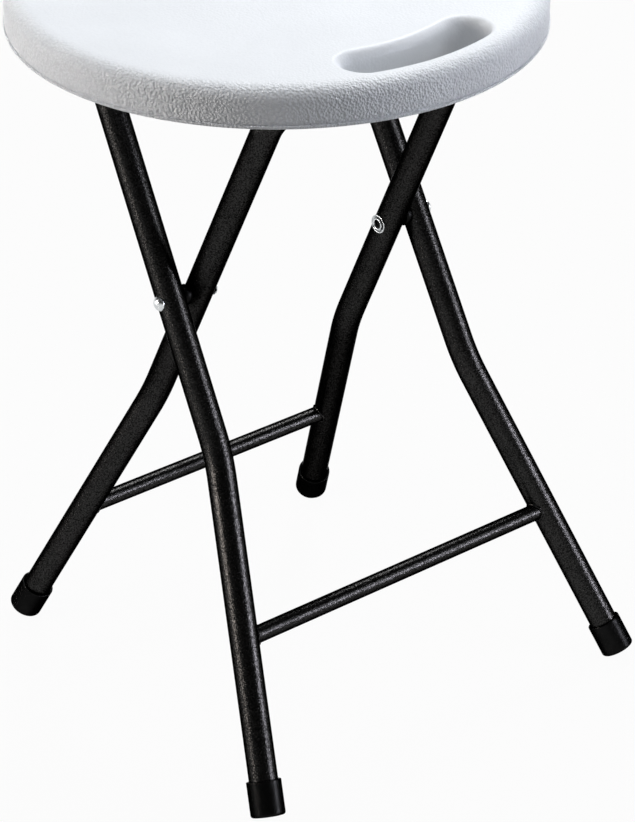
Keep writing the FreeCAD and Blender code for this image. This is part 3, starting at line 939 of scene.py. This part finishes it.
def fitting(name, outline, places, width):
    """The outline extruded along the bar at each place, with rounded edges."""
    bm = bmesh.new()
    for x in places:
        ends = []
        for shift in (-width / 2, width / 2):
            ends.append([bm.verts.new((x + shift, y, z)) for y, z in outline])
            bm.faces.new(ends[-1])
        bridge(bm, ends)
    obj = object_from(bm, name)
    edge = obj.modifiers.new("rounded edges", "BEVEL")
    edge.width = fitting_edge
    edge.segments = 3
    edge.limit_method = "ANGLE"
    edge.angle_limit = math.radians(35)
    edge.harden_normals = True
    obj.data.materials.append(black_plastic)
    return applied(obj)


clamps = fitting("hinge_clamps", clamp_outline(), (-clamp_x, clamp_x), clamp_width)
hooks = fitting("latch_hooks", hook_outline(), (-hook_x, hook_x), hook_width)
hand_over(clamps, "seat_panel", "black_plastic", *pair("hinge_clamp"))
hand_over(hooks, "seat_panel", "black_plastic", *pair("latch_hook"))

# %% [markdown]
# ## Screws
# Eight pan head screws hold the fittings. Only their heads show, pointing down. The head is a turned dome
# with a cross recess: here a boolean is the simple way, done once on the prototype, and the tree then sets
# out the copies with a random spin each, because no one lines up the crosses when driving screws.

# %% Screws under the seat
screw_radius, screw_height = 3.8 * MM, 2.4 * MM
cross_width, cross_length, cross_depth = 1.1 * MM, 4.4 * MM, 1.3 * MM
hook_screw_shift = 5.5 * MM


def screw_prototype():
    """A pan head with a cross recess, pointing up."""
    head = turned_prototype("screw_head", [(0, 0)] + dome(screw_radius, screw_height, 12), 40)
    bm = bmesh.new()
    long, wide = cross_length / 2, cross_width / 2
    corner = [(long, wide), (wide, wide), (wide, long)]
    outline = corner + [(-x, y) for x, y in reversed(corner)]
    outline += [(-x, -y) for x, y in corner] + [(x, -y) for x, y in reversed(corner)]
    rings = []
    for height in (screw_height - cross_depth, 2 * screw_height):
        rings.append([bm.verts.new((x, y, height)) for x, y in outline])
        bm.faces.new(rings[-1])
    bridge(bm, rings)
    cutter = object_from(bm, "cross_cutter")
    cut = head.modifiers.new("cross recess", "BOOLEAN")
    cut.operation = "DIFFERENCE"
    cut.solver = "EXACT"
    cut.object = cutter
    applied(head)
    bpy.data.objects.remove(cutter)
    return head


down = Vector((0, 0, -1))
under_flange = seat_under - flange_thickness
clamp_offset = clamp_reach + flange_length / 2
hook_offset = hook_reach + flange_length / 2
clamp_screws, hook_screws = [], []
for side in (-1, 1):
    for way in (-1, 1):
        clamp_place = Vector((side * clamp_x, hinge_bar.y + way * clamp_offset, under_flange))
        hook_place = Vector((side * hook_x + way * hook_screw_shift, latch_bar.y - hook_offset, under_flange))
        clamp_screws.append((clamp_place, down))
        hook_screws.append((hook_place, down))
screw = screw_prototype()
for seed, (name, places) in enumerate({"hinge_clamp": clamp_screws, "latch_hook": hook_screws}.items()):
    heads = set_out(name + "_screw_heads", screw, places, bright_zinc, seed)
    hand_over(heads, "seat_panel", "zinc_steel", name + "_screws")
bpy.data.objects.remove(screw)

# %% [markdown]
# ## Floor and surroundings
# The stool stands on a plain white floor. Camera and mirror rays see mostly an even white there, mixed with
# a little real diffuse floor, so the background is white and the stool's shadow still lies on it. The world
# does the same: white to look at round the horizon, dimmer overhead as a studio's ceiling is, and only
# faint as a light.

# %% Floor and world
floor_half = 6.0
floor_dark, floor_light = (0.3,) * 3, (0.33,) * 3
seen_white = 0.96
wall_heights = 0.08, 0.3


def seen_directly(tree):
    """One where a camera, mirror or see-through ray looks, and zero where light is being gathered."""
    path = add_node(tree, "ShaderNodeLightPath")
    total = path.outputs["Is Camera Ray"]
    for name in ("Is Glossy Ray", "Is Transmission Ray"):
        total = arithmetic(tree, "MAXIMUM", total, path.outputs[name])
    return total


def studio_floor():
    """A large pale plane with an even white for the rays that look at it."""
    bm = bmesh.new()
    ways = ((-1, -1), (1, -1), (1, 1), (-1, 1))
    bm.faces.new([bm.verts.new((x * floor_half, y * floor_half, 0)) for x, y in ways])
    floor = object_from(bm, "studio_floor")
    material, tree, shader, coordinates = new_finish("floor_white")
    tint = colours(tree, noise(tree, coordinates, scale=3.0), floor_dark, floor_light)
    set_inputs(tree, shader, {"Base Color": tint, "Roughness": 0.9, "Specular IOR Level": 0.0})
    glow = add_node(tree, "ShaderNodeEmission", {"Strength": 1.0}).outputs["Emission"]
    share = arithmetic(tree, "MULTIPLY", seen_directly(tree), seen_white)
    mix = add_node(tree, "ShaderNodeMixShader", {"Fac": share, 1: shader.outputs["BSDF"], 2: glow})
    set_inputs(tree, tree.nodes["Material Output"], {"Surface": mix.outputs["Shader"]})
    floor.data.materials.append(material)
    return floor


def studio_world(light, ceiling):
    """A world that looks white with a dim ceiling and gives only a little light."""
    world = bpy.data.worlds.new("studio")
    world.use_nodes = True
    tree = world.node_tree
    way = add_node(tree, "ShaderNodeTexCoord").outputs["Generated"]
    height = add_node(tree, "ShaderNodeSeparateXYZ", {"Vector": way}).outputs["Z"]
    walls = spread(tree, height, 1.0, ceiling, *wall_heights)
    strength = spread(tree, seen_directly(tree), light, walls, 0.0, 1.0)
    set_inputs(tree, tree.nodes["Background"], {"Color": (1, 1, 1, 1), "Strength": strength})
    bpy.context.scene.world = world


studio_floor()
studio_world(light=0.05, ceiling=0.07)
print("floor of", 2 * floor_half, "m and a white world")

# %% [markdown]
# ## Lamps
# Soft boxes light the stool: one overhead and one high behind for the seat's top, and one on each side for
# its wall. The high one also lies where the crossbars mirror it. Two strip boxes draw the pale lines down
# the black tubes, the left one a little warm and the right one a little cool. Those carry a grid, which
# Blender calls spread: it keeps their light low, on the legs, so that they don't brighten the seat.

# %% Lamps
open_beam = math.pi
gridded_beam = math.radians(16)
middle_height, leg_height = 0.3, 0.12
cool_white = 0.97, 0.985, 1.0


def soft_box(name, place, aim_height, size, watts, tint, beam=open_beam):
    """A rectangular area lamp aimed at a height on the stool's axis."""
    lamp = bpy.data.lights.new(name, "AREA")
    lamp.shape = "RECTANGLE"
    lamp.size, lamp.size_y = size
    lamp.energy = watts
    lamp.color = tint
    lamp.spread = beam
    obj = new_object(name, lamp)
    aim = Vector((0, 0, aim_height)) - Vector(place)
    turn = aim.to_track_quat("-Z", "Y").to_matrix().to_4x4()
    obj.matrix_world = Matrix.Translation(place) @ turn
    print(name, "at", place, "gives", watts, "W")


soft_box("overhead_box", (0.15, 0.2, 2.2), middle_height, (1.5, 1.5), 16.0, cool_white)
soft_box("back_box", (1.32, 0.8, 1.95), middle_height, (0.36, 0.7), 30.0, cool_white)
soft_box("left_box", (-1.76, 1.1, 0.75), middle_height, (0.9, 1.2), 25.0, (1.0, 0.97, 0.94))
soft_box("right_box", (1.42, -1.75, 0.85), middle_height, (0.6, 1.5), 18.5, (0.9, 0.94, 1.0))
soft_box("left_strip", (-2.0, 0.62, 0.6), leg_height, (0.7, 0.35), 0.55, (1.0, 0.9, 0.83), gridded_beam)
soft_box("right_strip", (1.42, -1.75, 0.6), leg_height, (0.7, 0.4), 0.5, (0.88, 0.86, 1.0), gridded_beam)

# %% [markdown]
# ## Camera
# The photograph was taken from the front left and above, with a long lens that keeps the legs nearly
# parallel. The camera's place and its three angles come from matching the stool's own corners to the
# picture, and the lens is given for the picture's height.

# %% Camera and colours
camera_place = seat_centre + Vector((-1.18851, -1.48250, 1.22583))
bearing = math.radians(39.465)
elevation = math.radians(29.357)
roll = math.radians(0.167)
sensor_height = 36.0
lens = 151.15


def camera_turn():
    """Turn a camera that looks straight down to its bearing, elevation and roll."""
    tilt = Matrix.Rotation(math.pi / 2 - elevation, 4, "X")
    return Matrix.Rotation(-bearing, 4, "Z") @ tilt @ Matrix.Rotation(roll, 4, "Z")


camera = new_object("photo_camera", bpy.data.cameras.new("photo_camera"))
camera.data.sensor_fit = "VERTICAL"
camera.data.sensor_height = sensor_height
camera.data.lens = lens
camera.matrix_world = Matrix.Translation(camera_place) @ camera_turn()
bpy.context.scene.camera = camera
bpy.context.scene.view_settings.view_transform = "Standard"
print("camera", round(camera_place.length, 3), "m from the origin, lens", lens)
